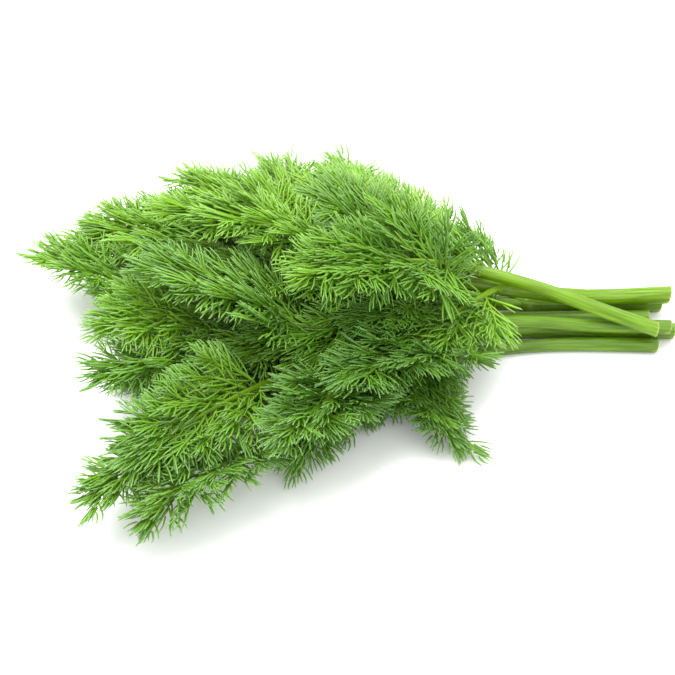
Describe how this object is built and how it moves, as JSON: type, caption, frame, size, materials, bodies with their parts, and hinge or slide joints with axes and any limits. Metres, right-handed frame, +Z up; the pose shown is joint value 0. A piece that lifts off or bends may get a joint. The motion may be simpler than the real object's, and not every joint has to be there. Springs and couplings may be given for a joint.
{
  "type": "dill bunch",
  "caption": "Loose bunch of fresh dill lying on its side, with cut stalks together at one end and feathery fronds fanned out at the other.",
  "frame": {"origin": "on the surface that the bunch lies on, under the middle of its box", "axes": "+Z up, +X along the bundle of stalks towards their cut ends, +Y across the fan"},
  "size_m": [0.2114, 0.1868, 0.0535],
  "materials": {
    "leafy_stem_1": "fresh stalk and leaf, deep green with a soft sheen",
    "leafy_stem_2": "fresh stalk and leaf, green with a soft sheen",
    "leafy_stem_3": "fresh stalk and leaf, green with a soft sheen",
    "leafy_stem_4": "fresh stalk and leaf, light green with a soft sheen",
    "leafy_stem_5": "fresh stalk and leaf, deep green with a soft sheen",
    "leafy_stem_6": "fresh stalk and leaf, light yellow-green with a soft sheen",
    "leafy_stem_7": "fresh stalk and leaf, light yellow-green with a soft sheen"
  },
  "bodies": {
    "root": {"leafy_stem_1": "leafy_stem_1", "leafy_stem_2": "leafy_stem_2", "leafy_stem_3": "leafy_stem_3", "leafy_stem_4": "leafy_stem_4", "leafy_stem_5": "leafy_stem_5", "leafy_stem_6": "leafy_stem_6", "leafy_stem_7": "leafy_stem_7"}
  },
  "joints": []
}
